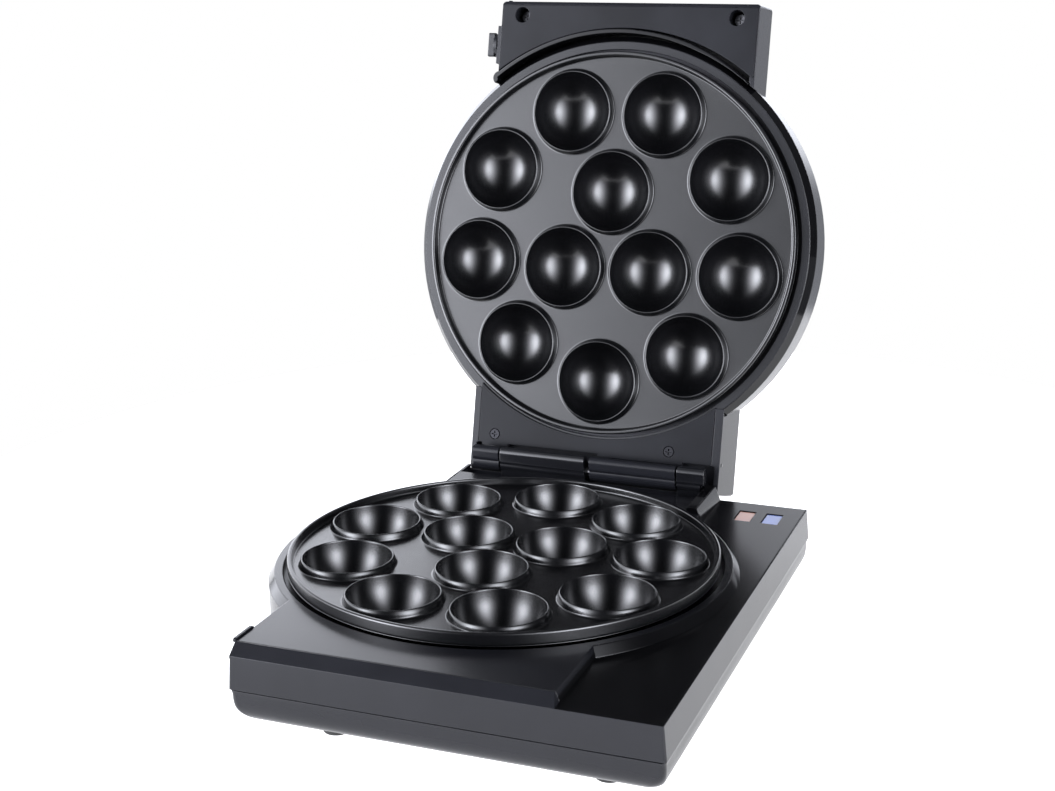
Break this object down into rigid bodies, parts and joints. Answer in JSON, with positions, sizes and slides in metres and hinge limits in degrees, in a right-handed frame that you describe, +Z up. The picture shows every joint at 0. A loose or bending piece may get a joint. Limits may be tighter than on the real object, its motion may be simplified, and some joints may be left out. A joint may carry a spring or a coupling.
{
  "type": "cake pop maker",
  "caption": "Countertop cake pop maker with a hinged lid: a round plate of half-ball cups in the base, a matching plate in the lid, a square handle and a strip with two lamps.",
  "frame": {"origin": "on the counter, under the centre of the lower round baking plate", "axes": "+X to the right along the hinge, +Y from the handle to the hinge, +Z up"},
  "size_m": [0.206, 0.3095, 0.2544],
  "materials": {
    "satin_body": "satin moulded plastic with a very fine texture",
    "gloss_black": "glossy black",
    "deck": "semi-gloss dark grey",
    "nonstick": "grey non-stick coated casting",
    "steel": "zinc-plated steel",
    "reflector": "bare rolled aluminium",
    "element": "oxidised steel sheath",
    "rubber": "soft black rubber",
    "amber_lens": "translucent amber",
    "blue_lens": "translucent blue",
    "board": "printed circuit board",
    "lamp_glass": "clear glass",
    "phenolic": "brown phenolic",
    "white_plastic": "white plastic"
  },
  "bodies": {
    "base": {"base_bottom_shell": "satin_body", "base_upper_shell": "satin_body", "base_top_cover": "deck", "base_rear_panel": "deck", "base_ring_band": "gloss_black", "control_strip": "gloss_black", "amber_lamp_window": "amber_lens", "blue_lamp_window": "blue_lens", "lamp_board": "board", "neon_lamps": "lamp_glass", "lower_baking_plate": "nonstick", "lower_heating_element": "element", "lower_reflector": "reflector", "lower_plate_screws": "steel", "thermostat": "phenolic", "thermal_fuse": "steel", "terminal_block": "white_plastic", "cord_gland": "rubber", "rubber_feet": "rubber", "base_screws": "steel", "hinge_bracket": "gloss_black", "hinge_pin": "steel", "latch_keeper": "deck"},
    "lid": {"lid_outer_shell": "satin_body", "lid_trench_collar": "gloss_black", "lid_ring_cover": "deck", "lid_ring_band": "gloss_black", "handle_cover": "deck", "hinge_cover": "deck", "handle_screws": "steel", "hinge_cover_screws": "steel", "upper_baking_plate": "nonstick", "upper_heating_element": "element", "upper_reflector": "reflector", "upper_plate_screws": "steel"},
    "latch": {"latch_hook": "deck", "latch_clip": "steel"}
  },
  "joints": [
    {"name": "lid_hinge", "type": "hinge", "parent": "base", "child": "lid", "pos_m": [0, 0.10923, 0.03813], "axis": [1, 0, 0], "range_deg": [0, 103.2]},
    {"name": "latch_pivot", "type": "hinge", "parent": "lid", "child": "latch", "pos_m": [-0.0652, 0.1668, 0.23306], "axis": [1, 0, 0], "range_deg": [0, 92.5]}
  ]
}
